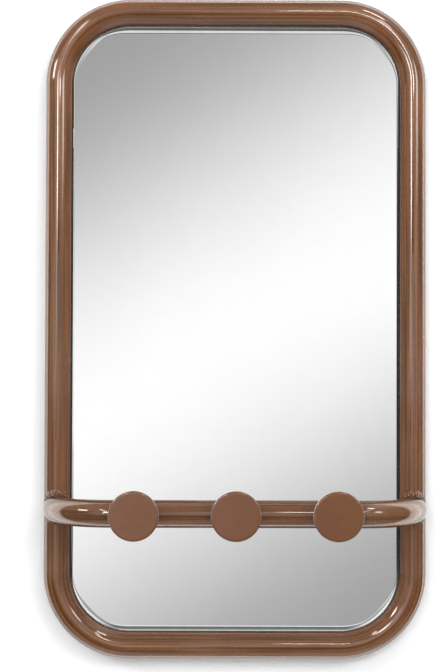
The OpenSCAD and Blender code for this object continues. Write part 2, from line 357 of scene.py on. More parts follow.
# What each band of the slope shows, from the flattest, next to the face, to the steepest: how far
# past the window it looks, then levels, each with its degrees anticlockwise from the right.
SLOPE_BANDS = (
    (0.21, ((0, 0.04), (12, 0.07), (26, 0.24), (46, 0.22), (60, 0.8), (78, 0.76), (102, 0.76),
            (120, 0.8), (134, 0.2), (152, 0.2), (180, 0.9), (194, 0.93), (197, 0.02),
            (207, 0.02), (214, 0.4), (240, 0.35), (254, 0.16), (286, 0.16), (296, 0.35),
            (325, 0.35), (329, 0.3), (333, 0.03), (359.9, 0.04))),
    (0.34, ((0, 0.03), (16, 0.05), (26, 0.85), (42, 0.75), (58, 0.13), (102, 0.13), (118, 0.14),
            (132, 0.85), (150, 0.85), (185, 0.92), (195, 0.92), (198, 0.02), (208, 0.02),
            (216, 1.0), (240, 0.85), (256, 0.2), (284, 0.2), (298, 0.85), (325, 1.0),
            (333, 0.03), (359.9, 0.03))),
    (0.47, ((0, 0.03), (14, 0.05), (24, 0.9), (40, 0.9), (54, 0.14), (78, 0.09), (102, 0.09),
            (120, 0.14), (130, 0.9), (146, 0.9), (158, 0.45), (185, 0.92), (195, 0.92),
            (198, 0.02), (208, 0.02), (218, 0.4), (240, 0.4), (256, 0.72), (284, 0.72),
            (298, 0.4), (325, 0.35), (333, 0.03), (359.9, 0.03))),
    (9.0, ((0, 0.03), (30, 0.08), (50, 0.05), (76, 0.03), (104, 0.03), (125, 0.06), (150, 0.2),
           (180, 0.75), (206, 0.6), (225, 1.0), (258, 0.95), (282, 0.95), (300, 1.0),
           (325, 1.0), (333, 0.03), (359.9, 0.03))))


def slope_view(distance):
    """What the slope round the glass shows. Its direction past the window gives a compass angle,
    and the distance past the window tells which of the four bands is asking."""
    angle = calc(sky, "ARCTAN2", calc(sky, "SUBTRACT", ray_z, SLOPE_UP), ray_x)
    turn = calc(sky, "FRACT", calc(sky, "ADD", calc(sky, "DIVIDE", angle, 2 * math.pi), 1.0))
    view, before = None, 0.0
    for upto, stops in SLOPE_BANDS:
        levels = put(sky, "ValToRGB", {"Fac": turn})
        elements = levels.color_ramp.elements
        for k, (degrees, level) in enumerate(stops):
            element = elements[k] if k < 2 else elements.new(degrees / 360)
            element.position = degrees / 360
            element.color = (level, level, level, 1)
        if view is None:
            view = levels.outputs[0]
        else:
            step = ramp(sky, distance, before - BAND_BLUR, before + BAND_BLUR)
            view = between(sky, step, view, levels.outputs[0])
        before = upto
    return view


def room():
    """Brightness of the room for the enamel, by direction: a dark front with a pale middle, a pale
    floor below, a ceiling that is paler to the right, a soft glow near the camera, thin stripes, a
    dark skirting, and the white wall's side behind."""
    sideways = calc(sky, "MULTIPLY_ADD", calc(sky, "ABSOLUTE", ray_x), 0.7, 0.35)
    floor_part = calc(sky, "MULTIPLY", sideways, ramp(sky, ray_z, -0.93, -0.76, 1.0, 0.0))
    ceiling = calc(sky, "MULTIPLY", ramp(sky, ray_z, 0.55, 0.95),
                   ramp(sky, ray_x, -0.1, 0.6, 0.05, 0.9))
    # glow near the camera: exp(-(1 - cosine of the angle from its middle) / 0.03)
    towards = (-0.21, -0.977, 0.035)
    near = calc(sky, "MULTIPLY_ADD", ray_x, towards[0], calc(sky, "MULTIPLY", ray_y, towards[1]))
    near = calc(sky, "MULTIPLY_ADD", ray_z, towards[2], near)
    glow = calc(sky, "EXPONENT", calc(sky, "DIVIDE", calc(sky, "SUBTRACT", near, 1.0), 0.03))
    level = calc(sky, "ADD", calc(sky, "ADD", DARK_FRONT, floor_part), ceiling)
    level = calc(sky, "MULTIPLY_ADD", glow, 0.8, level)
    # the studio's pale middle, from the height of the eye upwards
    middle = calc(sky, "MULTIPLY", ramp(sky, ray_y, -0.84, -0.66, 0.37, 0.0),
                  ramp(sky, ray_z, -0.06, 0.0))
    level = calc(sky, "MULTIPLY_ADD", middle, ramp(sky, ray_z, 0.40, 0.60, 1.0, 0.0), level)
    # bands of stands, flags and card edges: thin stripes by compass direction and by height
    compass = calc(sky, "ARCTAN2", ray_x, calc(sky, "MULTIPLY", ray_y, -1.0))
    for angle in (compass, calc(sky, "ARCSINE", ray_z)):
        stripes = put(sky, "TexNoise", {"W": calc(sky, "ADD", angle, STRIPE_SHIFT), "Detail": 3.0,
                                        "Scale": STRIPE_PACE, "Roughness": 0.6},
                      noise_dimensions="1D").outputs["Fac"]
        level = calc(sky, "ADD", level, ramp(sky, stripes, 0.52, 0.72, 0.0, 0.3))
    # the dark skirting and floor edge, a little below the level of the eye
    skirting = calc(sky, "MAXIMUM", ramp(sky, ray_z, -0.58, -0.44, 1.0, 0.0),
                    ramp(sky, ray_z, -0.23, -0.12))
    level = calc(sky, "MULTIPLY", level, skirting)
    return between(sky, ramp(sky, ray_y, 0.0, 0.10), level, WALL_SIDE)


# the camera's own view of the glass: the sheet in its face, the painted bands in its slope
distance = past_window()
sharp = between(sky, ramp(sky, distance, 0.05, 0.08), sail(), slope_view(distance))
# the glass as the enamel sees it shows the same room as the enamel does
first_sharp = calc(sky, "MULTIPLY", path["Is Singular Ray"],
                   calc(sky, "LESS_THAN", path["Glossy Depth"], 1.5))
glossy = between(sky, first_sharp, room(), sharp)
level = between(sky, path["Is Glossy Ray"], EVEN_LIGHT, glossy)
clear = calc(sky, "MAXIMUM", path["Is Camera Ray"], path["Is Transmission Ray"])
level = between(sky, clear, level, 1.0)
background = put(sky, "Background", {"Color": (1, 1, 1, 1), "Strength": level})
put(sky, "OutputWorld", {"Surface": background.outputs[0]})
print("world nodes:", len(sky.nodes))

# %% [markdown]
# ## The studio: lamps
# The thin bright lines on the tubes are soft boxes seen in the enamel. Traced back from the tubes'
# known shape, they give the direction, size and brightness of each box. An area light is either in
# every reflection or in none, and the photographed glass shows no lamp. So each box is a glowing
# card that is see-through for perfectly sharp rays: the mirror skips it, the enamel keeps it.
#
# Three large boxes stand left, in front and on the right, and two dimmer cards carry the front one
# on below and above. A small bar shines in a broad, faint sheet. Two tilted strips hang up right.

# %% Lamps
CENTRE = Vector((0.0, -0.03, MIDDLE_Z))
BOX_FAR = 2.8  # from the object's middle to each card


def heading(azimuth, elevation):
    """Unit vector: azimuth 0 is straight out of the mirror, positive to the right as seen."""
    a, e = math.radians(azimuth), math.radians(elevation)
    return Vector((math.sin(a) * math.cos(e), -math.cos(a) * math.cos(e), math.sin(e)))


def glowing_card(name, brightness, soft, soft_low):
    """Emission on the front side only, fading over the outer share `soft` of each half side and
    `soft_low` at the lower edge, and nothing at all for perfectly sharp rays or in a reflection
    of a reflection, so the glass shows no highlights of the tube beside it."""
    material, tree = bare_material(name)
    spot = put(tree, "SeparateXYZ", {0: put(tree, "UVMap", uv_map="card").outputs["UV"]}).outputs
    level = brightness
    for part, first, last in ((spot[0], soft, soft), (spot[1], soft_low, soft)):
        for edge in (ramp(tree, part, 0.0, first / 2), ramp(tree, part, 1 - last / 2, 1.0, 1.0, 0.0)):
            level = calc(tree, "MULTIPLY", edge, level)
    rays = put(tree, "LightPath").outputs
    behind = put(tree, "NewGeometry").outputs["Backfacing"]
    second = calc(tree, "GREATER_THAN", rays["Glossy Depth"], 1.5)
    hide = calc(tree, "MAXIMUM", calc(tree, "MAXIMUM", rays["Is Singular Ray"], second), behind)
    see_through(tree, hide, put(tree, "Emission", {"Strength": level}))
    return material


def soft_box(name, azimuth, elevation, wide, high, roll, brightness, soft=0.3, soft_low=0.3):
    """A glowing card that faces the object. Its place, width, height and roll are in degrees."""
    out = heading(azimuth, elevation)
    across = Vector((0, 0, 1)).cross(out).normalized()
    up = out.cross(across)
    turn = math.radians(roll)
    across, up = (across * math.cos(turn) + up * math.sin(turn),
                  up * math.cos(turn) - across * math.sin(turn))
    half_x = across * BOX_FAR * math.tan(math.radians(wide / 2))
    half_y = up * BOX_FAR * math.tan(math.radians(high / 2))
    middle = CENTRE + out * BOX_FAR
    corners = [middle - half_x - half_y, middle - half_x + half_y,
               middle + half_x + half_y, middle + half_x - half_y]
    card = stage_plane(name, corners, glowing_card(name, brightness, soft, soft_low),
                       hidden=("camera", "shadow", "transmission"))
    spots = card.data.uv_layers.new(name="card")
    spots.data.foreach_set("uv", [0, 0, 0, 1, 1, 1, 1, 0])
    print(name, "faces the object:", (card.data.polygons[0].normal.dot(out) < 0))
    return card


soft_box("box_right", 36.0, 15.2, 14.0, 17.0, 38, 6.3, soft_low=0.9)
soft_box("box_left", -52.5, 21.9, 18.0, 10.5, 0, 12.0)
soft_box("box_front", -13.0, 10.8, 9.0, 13.5, 0, 14.5, soft_low=0.9)
soft_box("box_front_low", -16.5, 2.5, 9.0, 15.0, 0, 4.2, soft=0.8, soft_low=1.0)
soft_box("box_front_upper", -19.0, 28.5, 4.5, 24.0, 35, 7.0)
soft_box("bar", 6.3, 16.6, 6.4, 3.2, 0, 19.0)
soft_box("sheet", 0.0, 14.5, 17.0, 17.0, 0, 1.8, soft=1.0, soft_low=1.0)
soft_box("strip_near", 16.0, 26.0, 3.8, 26.0, -37, 5.0)
soft_box("strip_far", 31.0, 48.0, 11.0, 9.0, -40, 13.0)

# %% [markdown]
# One more lamp stands in front, up and to the right. It is a plain area light that reflections
# leave out, so it only shades: the loop's shadow falls below it and the rail's shadow to its left.

# %% Key lamp
KEY_FAR = 2.0
key = bpy.data.lights.new("lamp_key", "AREA")
key.shape = "RECTANGLE"
key.energy, key.size, key.size_y = 6.5, 1.3, 0.45  # watts, width, height
lamp = bpy.data.objects.new("lamp_key", key)
bpy.context.scene.collection.objects.link(lamp)
lamp.location = CENTRE + KEY_FAR * heading(29.0, 22.0)
lamp.rotation_euler = (lamp.location - CENTRE).to_track_quat("Z", "Y").to_euler()
lamp.visible_camera = lamp.visible_glossy = False
print("key lamp at", [round(v, 2) for v in lamp.location])

# %% [markdown]
# ## Shared surface effects
# `mottle` gives a slow and a fine change of tone from the piece's own coordinates. It is one node
# group, which every finish uses with its own values.

# %% Group: mottle
MIX_FIRST, MIX_SECOND, MIX_OUT = 6, 7, 2  # the colour sockets of a Mix node
TONE_LOW, TONE_HIGH = 0.36, 0.64  # the part of a noise's range that makes the whole tone
GRAIN_SHARE = 0.35


def new_group(name, inputs, outputs):
    """An empty shader group with named sockets; inputs are (type, name, default)."""
    group = bpy.data.node_groups.new(name, "ShaderNodeTree")
    for kind, label, default in inputs:
        socket = group.interface.new_socket(label, in_out="INPUT", socket_type="NodeSocket" + kind)
        if default is not None:
            socket.default_value = default
    for kind, label in outputs:
        group.interface.new_socket(label, in_out="OUTPUT", socket_type="NodeSocket" + kind)
    return group, group.nodes.new("NodeGroupInput"), group.nodes.new("NodeGroupOutput")


mottle, given, result = new_group(
    "mottle",
    [("Vector", "Vector", None), ("Color", "Dark", (0, 0, 0, 1)), ("Color", "Light", (1, 1, 1, 1)),
     ("Float", "Patch scale", 6.0), ("Float", "Grain scale", 300.0), ("Float", "Low gloss", 0.3),
     ("Float", "High gloss", 0.5)],
    [("Color", "Color"), ("Float", "Roughness"), ("Float", "Grain"), ("Float", "Patches")])
patches = put(mottle, "TexNoise", {"Vector": given.outputs["Vector"], "Detail": 3.0,
                                   "Scale": given.outputs["Patch scale"]})
grain = put(mottle, "TexNoise", {"Vector": given.outputs["Vector"], "Detail": 2.0,
                                 "Scale": given.outputs["Grain scale"]})
blend = calc(mottle, "MULTIPLY_ADD", grain.outputs["Fac"], GRAIN_SHARE,
             calc(mottle, "MULTIPLY", patches.outputs["Fac"], 1 - GRAIN_SHARE))
tone = ramp(mottle, blend, TONE_LOW, TONE_HIGH)
mixer = put(mottle, "Mix", {"Factor": tone, MIX_FIRST: given.outputs["Dark"],
                            MIX_SECOND: given.outputs["Light"]}, data_type="RGBA")
mottle.links.new(mixer.outputs[MIX_OUT], result.inputs["Color"])
gloss_range = calc(mottle, "SUBTRACT", given.outputs["High gloss"], given.outputs["Low gloss"])
mottle.links.new(calc(mottle, "MULTIPLY_ADD", gloss_range, tone, given.outputs["Low gloss"]),
                 result.inputs["Roughness"])
mottle.links.new(grain.outputs["Fac"], result.inputs["Grain"])
mottle.links.new(patches.outputs["Fac"], result.inputs["Patches"])
print("group sockets:", [s.name for s in mottle.interface.items_tree])

# %% [markdown]
# ## Finishes
# `finish` makes one material: the mottle group feeds the base colour and the roughness, its grain
# feeds a bump, and values that never change are set on the shader's own sockets. The one enamel
# comes in three near tones, because the photograph shows the discs plain, the loop with pale
# lines and the rail a little darker. The loop's pale lines are partly painted reflection, and the
# rail's darker tone is painted shade.

# %% Finish maker
def finish(name, dark, light, gloss, patch_scale, grain_scale, bump_depth, constants=None):
    """A material whose tone runs from dark to light and whose roughness runs over gloss. With no
    gloss given it is a perfect polish: roughness and normal stay plain."""
    material = bpy.data.materials.new(name)
    material.use_nodes = True
    tree = material.node_tree
    shader = tree.nodes["Principled BSDF"]
    place = put(tree, "TexCoord").outputs["Object"]
    look = put(tree, "Group", node_tree=mottle)
    values = {"Dark": (*dark, 1), "Light": (*light, 1), "Patch scale": patch_scale,
              "Grain scale": grain_scale}
    if gloss:
        values.update({"Low gloss": gloss[0], "High gloss": gloss[1]})
    for label, value in values.items():
        look.inputs[label].default_value = value
    tree.links.new(place, look.inputs["Vector"])
    tree.links.new(look.outputs["Color"], shader.inputs["Base Color"])
    if gloss:
        bump = put(tree, "Bump", {"Height": look.outputs["Grain"], "Strength": 1.0,
                                  "Distance": bump_depth})
        tree.links.new(look.outputs["Roughness"], shader.inputs["Roughness"])
        tree.links.new(bump.outputs["Normal"], shader.inputs["Normal"])
    for label, value in (constants or {}).items():
        shader.inputs[label].default_value = value
    return material


ENAMEL = {"Coat Weight": 1.0, "Coat Roughness": 0.035, "IOR": 1.5,
          "Specular Tint": (1.0, 0.88, 0.80, 1.0)}
coat, tube_coat, rail_coat_shaded = [
    finish(name, dark, light, (0.05, 0.08), 14, grain_scale, 1e-6, ENAMEL)
    for name, dark, light, grain_scale in (
        ("brown_enamel", (0.182, 0.068, 0.025), (0.200, 0.077, 0.030), 120),
        ("brown_enamel_on_tube", (0.186, 0.076, 0.031), (0.226, 0.096, 0.041), 260),
        # the rail's darker tone is painted shade
        ("brown_enamel_on_rail_shaded", (0.158, 0.064, 0.026), (0.192, 0.082, 0.035), 260))]
black_board = finish("black_board", (0.010, 0.010, 0.011), (0.030, 0.029, 0.028), (0.55, 0.8), 30,
                     900, 5e-5)
foam_tape = finish("foam_tape", (0.02, 0.02, 0.022), (0.05, 0.05, 0.052), (0.8, 0.95), 60, 1500, 1e-4)
zinc = finish("zinc_plate", (0.42, 0.43, 0.45), (0.66, 0.66, 0.66), (0.22, 0.42), 90, 700, 1e-5,
              {"Metallic": 1.0})
screw_steel = finish("screw_steel", (0.50, 0.50, 0.49), (0.72, 0.71, 0.68), (0.16, 0.32), 200, 1200,
                     1e-5, {"Metallic": 1.0})
rubber = finish("bumper_rubber", (0.018, 0.018, 0.018), (0.045, 0.044, 0.043), (0.6, 0.85), 120, 1500,
                5e-5)
print("finishes:", [m.name for m in bpy.data.materials])

# %% [markdown]
# ## Drawing lines and painted sheen under the enamel
# Tube is pulled through a die, which leaves faint lines along it, and thin enamel pools a little
# between them. The pale, cool lines are partly painted reflection: they also stand in for streaks
# of reflected light along the tubes. Noise on plain coordinates can't follow a bend. The tubes
# carry their own lengthwise coordinates instead, in metres along and round, so stretched noise
# runs round the corners.

# %% Drawing lines and painted sheen
LINE_NOISES = ((5.0, 250.0, 0.0), (2.0, 620.0, 5.0))  # pace along, pace round, shift
FINE_SHARE = 0.4  # of the second noise
# painted reflection: the pale, cool tone also stands in for streaks of reflected light
WARM_DARK, COOL_PALE_SHEEN = (1.04, 0.97, 0.88), (0.99, 1.02, 1.10)


def add_drawing_lines_and_sheen(material, strength):
    """Multiplies the base colour by a warm and dark or a pale and cool line tone, and lifts the
    bump by the same lines. The pale, cool tone is partly painted reflection."""
    tree = material.node_tree
    shader = tree.nodes["Principled BSDF"]
    lengthwise = put(tree, "UVMap", uv_map="lengthwise").outputs["UV"]
    tones = []
    for along, across, shift in LINE_NOISES:
        stretched = put(tree, "Mapping", {"Vector": lengthwise, "Location": (shift, shift, 0.0),
                                          "Scale": (along, across, 1.0)}).outputs[0]
        tones.append(put(tree, "TexNoise", {"Vector": stretched, "Scale": 1.0,
                                            "Detail": 2.0, "Roughness": 0.55}).outputs[0])
    both = calc(tree, "MULTIPLY_ADD", tones[1], FINE_SHARE,
                calc(tree, "MULTIPLY", tones[0], 1 - FINE_SHARE))
    line = ramp(tree, both, TONE_LOW, TONE_HIGH)
    dark = [(1 - strength) * part for part in WARM_DARK]
    pale = [(1 + strength) * part for part in COOL_PALE_SHEEN]
    shade = put(tree, "Mix", {"Factor": line, MIX_FIRST: (*dark, 1), MIX_SECOND: (*pale, 1)},
                data_type="RGBA")
    plain = shader.inputs["Base Color"].links[0].from_socket
    product = put(tree, "Mix", {"Factor": 1.0, MIX_FIRST: plain, MIX_SECOND: shade.outputs[MIX_OUT]},
                  data_type="RGBA", blend_type="MULTIPLY")
    tree.links.new(product.outputs[MIX_OUT], shader.inputs["Base Color"])
    old_normal = shader.inputs["Normal"].links[0].from_socket
    bump = put(tree, "Bump", {"Height": both, "Strength": 1.0, "Distance": 6e-6, "Normal": old_normal})
    tree.links.new(bump.outputs["Normal"], shader.inputs["Normal"])
    return material


add_drawing_lines_and_sheen(tube_coat, 0.39)
add_drawing_lines_and_sheen(rail_coat_shaded, 0.42)
print("nodes in the tube's enamel:", len(tube_coat.node_tree.nodes))

# %% [markdown]
# ## The frame loop
# The real loop is one length of 28 mm tube with four bends, closed by a butt weld that is ground
# flush. A circle carried along a rounded rectangle gives it: the point at angle a round the tube is
# centre + radius x (cosine a x outward + sine a x forward). At the foot, on the wall side, the
# drain hole is let in by turning a patch of the grid into rings that close down to the hole's edge.

# %% Rounded rectangle
def rounded_outline(half_x, half_z, corner, per_corner=40, per_side=24):
    """Points and outward unit normals round a rounded rectangle: a quarter circle at each corner,
    joined by straights. The point is corner centre + corner radius x normal."""
    corners = []
    for k in range(4):
        angle = np.radians(np.linspace(k * 90.0, k * 90.0 + 90.0, per_corner + 1))
        sign_x, sign_z = (1 if k in (0, 3) else -1), (1 if k < 2 else -1)
        n = np.stack([np.cos(angle), np.sin(angle)], 1)
        centre = np.array([sign_x * (half_x - corner), sign_z * (half_z - corner)])
        corners.append((centre + corner * n, n))
    points, normals = [], []
    for k, (arc, n) in enumerate(corners):
        following = corners[(k + 1) % 4][0][0]
        share = np.linspace(0, 1, per_side + 1)[1:-1, None]
        points += [arc, arc[-1] + share * (following - arc[-1])]
        normals += [n, np.repeat(n[-1:], per_side - 1, 0)]
    return np.concatenate(points), np.concatenate(normals)


# %% Frame loop
ROUND = 96  # points round a tube
SEAM = math.radians(-142.5)  # where its lengthwise coordinates start, on the wall side
TO_WALL = math.radians(-90)
DRAIN_R, TUBE_WALL, DRAIN_DEEP = 2.5 * MM, 1.5 * MM, 8 * MM
PATCH_HALF, PATCH_COLUMNS = 6.3 * MM, 6  # half sizes of the patch round the drain
# each ring of the patch: its share of the way to the hole's edge, and its depth below the skin
DRAIN_RINGS = ((0.35, 0), (0.7, 0), (0.95, 0), (1.0, 0.15 * MM), (1.0, TUBE_WALL), (1.0, DRAIN_DEEP))

centre_line, outward = rounded_outline(SIDE_X, (LOOP_TOP - LOOP_FOOT) / 2, LOOP_BEND, 48, 110)
centre_line = centre_line + [0, MIDDLE_Z]
angle = full_turn(ROUND, SEAM)
rows = len(centre_line)


def loop_point(middle, out, a, radius=TUBE_R):
    """Middle of the tube + radius x (cosine a x outward - sine a x the wall's direction)."""
    flat = middle + radius * np.cos(a)[..., None] * out
    return np.stack([flat[..., 0], TUBE_Y - radius * np.sin(a), flat[..., 1]], -1)


skin = loop_point(centre_line[:, None], outward[:, None], np.broadcast_to(angle, (rows, ROUND)))
faces = grid_faces(rows, ROUND, close_rows=True)
gaps = np.linalg.norm(np.roll(centre_line, -1, 0) - centre_line, axis=1)
along = np.concatenate([[0], np.cumsum(gaps)])
around = np.linspace(0, 2 * np.pi * TUBE_R, ROUND + 1)
uv = corner_uv(along, around)

# the patch round the drain, on the middle of the foot's wall side
on_foot = (centre_line[:, 1] < LOOP_FOOT + 1e-6) & (np.abs(centre_line[:, 0]) < PATCH_HALF)
first_row, last_row = np.nonzero(on_foot)[0][[0, -1]]
middle_column = int(round((TO_WALL - SEAM) / (2 * np.pi) * ROUND))
first_column, last_column = middle_column - PATCH_COLUMNS, middle_column + PATCH_COLUMNS
cell_row, cell_column = np.divmod(np.arange(rows * ROUND), ROUND)
in_patch = ((cell_row >= first_row) & (cell_row < last_row)
            & (cell_column >= first_column) & (cell_column < last_column))
faces, uv = faces[~in_patch], uv[np.repeat(~in_patch, 4)]
r, c = np.arange(first_row, last_row + 1), np.arange(first_column, last_column + 1)
edge_rows = np.concatenate([r, np.full(len(c) - 2, r[-1]), r[::-1], np.full(len(c) - 2, r[0])])
edge_columns = np.concatenate([np.full(len(r), c[0]), c[1:-1], np.full(len(r), c[-1]), c[-2:0:-1]])
edge_ring = edge_rows * ROUND + edge_columns
foot_x = centre_line[edge_rows, 0]
foot_arc = (angle[edge_columns] - TO_WALL) * TUBE_R
bearing = np.arctan2(foot_arc, foot_x)
hole = DRAIN_R * np.stack([np.cos(bearing), np.sin(bearing)], 1)
patch_rings = []
for share, sink in DRAIN_RINGS:
    x, arc = (np.stack([foot_x, foot_arc], 1) * (1 - share) + hole * share).T
    patch_rings.append(loop_point(np.stack([x, np.full_like(x, LOOP_FOOT)], 1),
                                  np.broadcast_to([0.0, -1.0], (len(x), 2)), TO_WALL + arc / TUBE_R,
                                  TUBE_R - sink))
start = rows * ROUND
count = len(edge_ring)
points = np.concatenate([skin.reshape(-1, 3)] + patch_rings
                        + [[[0, TUBE_Y + TUBE_R - DRAIN_DEEP, LOOP_FOOT]]])
ring_of = [edge_ring] + [start + k * count + np.arange(count) for k in range(len(patch_rings))]
patch_faces = [np.stack([a, np.roll(a, -1), np.roll(b, -1), b], 1)
               for a, b in zip(ring_of[:-1], ring_of[1:])]
drain_foot = fan_faces(ring_of[-1], len(points) - 1)
frame_loop = build("frame_loop", points, [faces, *patch_faces, drain_foot], uv)
wear(frame_loop, tube_coat)
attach(frame_loop, "root")
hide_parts("frame_tube")

# %% [markdown]
# ## The rail
# The rail is the same tube, bent back through 90 degrees at both ends, and each end is cut to a
# fish mouth that saddles the side tube. The cut isn't drawn: for each angle round the rail, the
# length at which its surface meets the side tube's surface is found by halving an interval, for
# all angles at once, and the last rows of the grid are stretched to those lengths.

# %% Rail
STRAIGHT = SIDE_X - RAIL_BEND  # lengths along the rail from its middle: to the bend,
LEG_START = STRAIGHT + RAIL_BEND * np.pi / 2  # to the leg behind the bend,
REACH = LEG_START + TUBE_Y - (RAIL_Y + RAIL_BEND)  # and to the side tube's axis
SEARCH_BACK, TRIM_BACK, END_SUNK = 12 * MM, 10 * MM, 0.5 * MM
LINES_SHIFT = 3.0  # keeps the rail's drawing lines unlike the loop's


def rail_frame(h):
    """Middle of the rail and its outward direction, at length h from the rail's centre to the
    right: straight, then a quarter turn, then straight back to the side tube."""
    turn = np.clip((h - STRAIGHT) / RAIL_BEND, 0, np.pi / 2)
    leg = np.maximum(h - LEG_START, 0)
    x = np.minimum(h, STRAIGHT) + RAIL_BEND * np.sin(turn)
    y = RAIL_Y + RAIL_BEND * (1 - np.cos(turn)) + leg
    return np.stack([x, y], -1), np.stack([np.sin(turn), -np.cos(turn)], -1)


def rail_point(h, a):
    """Middle of the rail + radius x (cosine a x outward + sine a x up); h < 0 mirrors it left."""
    middle, out = rail_frame(np.abs(h))
    flat = middle + TUBE_R * np.cos(a)[..., None] * out
    return np.stack([flat[..., 0] * np.where(h < 0, -1, 1), flat[..., 1],
                     RAIL_Z + TUBE_R * np.sin(a)], -1)


def meets_side_tube(a):
    """Length h at which the rail's skin at angle a enters the side tube, by 40 halvings."""
    low, high = np.full(a.shape, LEG_START - SEARCH_BACK), np.full(a.shape, REACH)
    for _ in range(40):
        half = (low + high) / 2
        p = rail_point(half, a)
        outside = np.hypot(p[..., 0] - SIDE_X, p[..., 1] - TUBE_Y) > TUBE_R
        low, high = np.where(outside, half, low), np.where(outside, high, half)
    return (low + high) / 2


angle = full_turn(ROUND, np.pi)
fish_mouth = meets_side_tube(angle) + END_SUNK
trim = LEG_START - TRIM_BACK
half_rows = np.concatenate([np.linspace(0, STRAIGHT, 30)[1:], np.linspace(STRAIGHT, trim, 46)[1:]])
lengths = np.concatenate([-half_rows[::-1], [0], half_rows])
h = np.repeat(lengths[:, None], ROUND, 1)
steps = np.linspace(0, 1, 7)[1:, None]
stretched = trim + steps * (fish_mouth - trim)
h = np.concatenate([-stretched[::-1], h, stretched])
skin = rail_point(h, np.broadcast_to(angle, h.shape))
plugs = np.array([[-SIDE_X, TUBE_Y, RAIL_Z], [SIDE_X, TUBE_Y, RAIL_Z]])
rail = build("rail_tube", np.concatenate([skin.reshape(-1, 3), plugs]), capped_grid(len(h), ROUND),
             corner_uv(h.mean(1) + LINES_SHIFT, around))
wear(rail, rail_coat_shaded)
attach(rail, "root")
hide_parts("hook_rail")

# %% [markdown]
# ## The welds
# Each end is welded all round. A hand-held torch leaves a chain of small overlapping pools, and
# enamel softens but doesn't hide them: the photograph shows them glinting above the rail's ends.
# The bead is a closed ring along the fish mouth's edge. Its section is an ellipse that lies on the
# side tube, and it swells and shrinks from pool to pool.

# %% Weld beads
POOL = 2.6 * MM  # length of one pool along the joint


def weld_bead(name, node, side, seed):
    """A closed ring along the joint. Its section is an ellipse, flat on the side tube: half length
    along the tube's skin and half thickness off it, both largest above the rail, where the photo
    shows a mound, and buried at the sides. Pools are a rounded saw of the length along the joint,
    leaning with the angle round the bead, with an unevenness from pool to pool."""
    along_count, round_count = 480, 40
    a = full_turn(along_count)
    edge = rail_point(meets_side_tube(a), a)
    tube_out = np.column_stack([edge[:, 0] - SIDE_X, edge[:, 1] - TUBE_Y, np.zeros(len(a))]) / TUBE_R
    run = np.roll(edge, -1, 0) - np.roll(edge, 1, 0)
    run /= np.linalg.norm(run, axis=1, keepdims=True)
    away = np.cross(run, tube_out)
    away /= np.linalg.norm(away, axis=1, keepdims=True)
    away *= np.sign(away[:, 2] * np.sin(a))[:, None] + (np.sin(a) == 0)[:, None]
    above, below = np.clip(np.sin(a), 0, 1) ** 1.6, np.clip(-np.sin(a), 0, 1) ** 1.6
    length = np.concatenate([[0], np.cumsum(np.linalg.norm(np.diff(edge, axis=0), axis=1))])
    total = length[-1] + np.linalg.norm(edge[0] - edge[-1])
    pools = round(total / POOL)
    phase = length / total * pools
    rng = np.random.default_rng(seed)
    uneven = rng.uniform(-1, 1, pools)
    wobble = np.interp(phase, np.arange(pools + 1), np.append(uneven, uneven[0]))
    t = full_turn(round_count)
    lean = phase[:, None] + 0.45 * np.cos(t)[None, :]
    saw = np.abs(np.sin(np.pi * lean)) ** 0.7
    lumps = np.sin(2 * np.pi * 0.71 * phase[:, None] + 3 * t) * np.sin(5 * t + phase[:, None])
    swell = 0.82 + 0.24 * saw + 0.12 * wobble[:, None] + 0.14 * lumps

    def size(at_sides, more_above, more_below):
        return ((at_sides + more_above * above + more_below * below) * MM)[:, None]

    half_length, half_thick = size(1.2, 3.9, 1.0) * swell, size(0.7, 2.5, 0.9) * swell
    core = edge + size(0.2, 1.5, 0.5) * away - size(1.2, -1.2, -0.5) * tube_out
    ring = (core[:, None] + (half_length * np.cos(t))[..., None] * away[:, None]
            + (half_thick * np.sin(t))[..., None] * tube_out[:, None])
    ring[..., 0] *= side
    faces = grid_faces(along_count, round_count, close_rows=True)
    if side < 0:
        faces = faces[:, ::-1]
    bead = build(name, ring, [faces])
    wear(bead, coat)
    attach(bead, "root")
    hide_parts(node)
    return bead


beads = [weld_bead("weld_bead_left", "weld_left", -1, 3),
         weld_bead("weld_bead_right", "weld_right", 1, 5)]

# %% [markdown]
# ## The hooks
# Each hook is turned from one bar: a disc with a softly rounded rim on a short stem, with a fillet
# between them. A turned part is one outline spun round an axis, here walked from the middle of the
# face to the stem's foot, which is hollowed to sit on the rail.

# %% Hooks
DISC_R, DISC_FACE, DISC_BACK, RIM_R = 25 * MM, -110 * MM, -104 * MM, 1.5 * MM
STEM_R, FILLET = 8 * MM, 3 * MM
FOOT_SUNK, FOOT_DEEP = 0.4 * MM, 8 * MM  # the foot's rim in the rail's skin, and its pole


def quarter(centre, radius, start, end, count):
    """Points on a circle: centre + radius x (cosine, sine), from start to end in degrees."""
    t = np.radians(np.linspace(start, end, count))
    return np.stack([centre[0] + radius * np.cos(t), centre[1] + radius * np.sin(t)], 1)


def hook_profile():
    """(distance from the axis, y) from the face's middle to the stem; y grows towards the wall."""
    face = np.stack([np.linspace(0.5 * MM, DISC_R - RIM_R, 14)[:-1], np.full(13, DISC_FACE)], 1)
    rim = [quarter((DISC_R - RIM_R, DISC_FACE + RIM_R), RIM_R, -90, 0, 9),
           quarter((DISC_R - RIM_R, DISC_BACK - RIM_R), RIM_R, 0, 90, 9)]
    back = np.stack([np.linspace(DISC_R - RIM_R, STEM_R + FILLET, 8)[1:-1], np.full(6, DISC_BACK)], 1)
    fillet = quarter((STEM_R + FILLET, DISC_BACK + FILLET), FILLET, -90, -180, 9)
    return np.concatenate([face, *rim, back, fillet])


